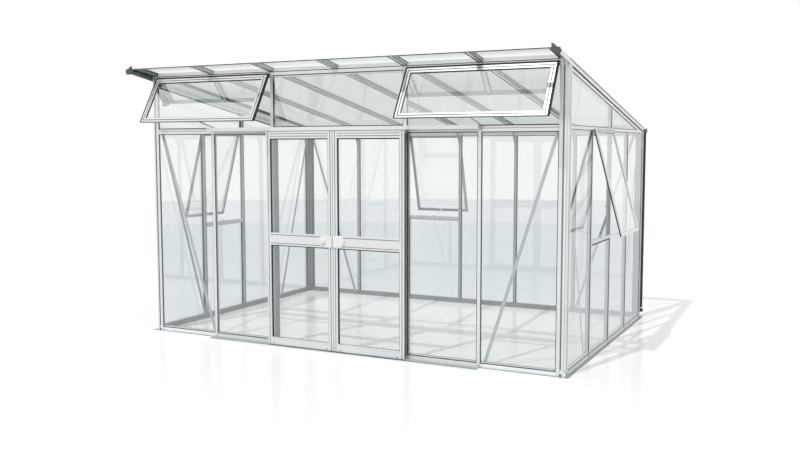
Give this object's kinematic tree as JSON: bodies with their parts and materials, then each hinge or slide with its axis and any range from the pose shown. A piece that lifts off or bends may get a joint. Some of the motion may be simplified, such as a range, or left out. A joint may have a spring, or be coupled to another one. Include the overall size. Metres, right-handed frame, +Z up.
{
  "type": "greenhouse",
  "caption": "Aluminium-framed glass greenhouse with a single-pitch roof, sliding doors at the front, tilted vents over them and top-hung windows standing open.",
  "frame": {"origin": "middle of the overall box at ground level, under the house", "axes": "+X to the right as seen from the door side, +Y from the door side to the rear wall, +Z up"},
  "size_m": [4.3178, 3.131, 2.3857],
  "materials": {
    "aluminium": "mill finish, satin",
    "clear_glass": "clear float glass",
    "dark_caps": "dark grey moulded plastic",
    "black_pipe": "black plastic pipe",
    "white_plates": "white moulded plastic",
    "rollers": "grey nylon"
  },
  "bodies": {
    "house": {"front_base_rail": "aluminium", "back_base_rail": "aluminium", "left_base_rail": "aluminium", "right_base_rail": "aluminium", "front_corner_posts": "aluminium", "back_corner_posts": "aluminium", "front_glazing_bars": "aluminium", "door_posts": "aluminium", "upper_front_posts": "aluminium", "left_glazing_bars": "aluminium", "right_glazing_bars": "aluminium", "back_glazing_bars": "aluminium", "front_transom": "aluminium", "front_head_beam": "aluminium", "side_rails": "aluminium", "raking_rails": "aluminium", "back_eaves_beam": "aluminium", "window_sill_rails": "aluminium", "roof_rafters": "aluminium", "roof_verges": "aluminium", "verge_trims": "aluminium", "roof_front_rail": "aluminium", "eaves_fillers": "aluminium", "rear_gutter": "aluminium", "front_vent_sashes": "aluminium", "window_sashes": "aluminium", "sash_stays": "aluminium", "wind_braces": "aluminium", "door_head_rail": "aluminium", "door_guide_rail": "aluminium", "roof_glass": "clear_glass", "front_glass": "clear_glass", "left_glass": "clear_glass", "right_glass": "clear_glass", "back_glass": "clear_glass", "front_vent_glass": "clear_glass", "window_glass": "clear_glass", "roof_end_caps": "dark_caps", "gutter_end_caps": "dark_caps", "downpipe": "black_pipe"},
    "left_door": {"left_door_frame": "aluminium", "left_door_glass": "clear_glass", "left_door_rollers": "rollers", "left_door_lock": "white_plates"},
    "right_door": {"right_door_frame": "aluminium", "right_door_glass": "clear_glass", "right_door_rollers": "rollers", "right_door_pull": "white_plates"}
  },
  "joints": [
    {"name": "left_door_slide", "type": "slide", "parent": "house", "child": "left_door", "axis": [-1, 0, 0], "range_m": [0, 0.585]},
    {"name": "right_door_slide", "type": "slide", "parent": "house", "child": "right_door", "axis": [1, 0, 0], "range_m": [0, 0.585]}
  ]
}
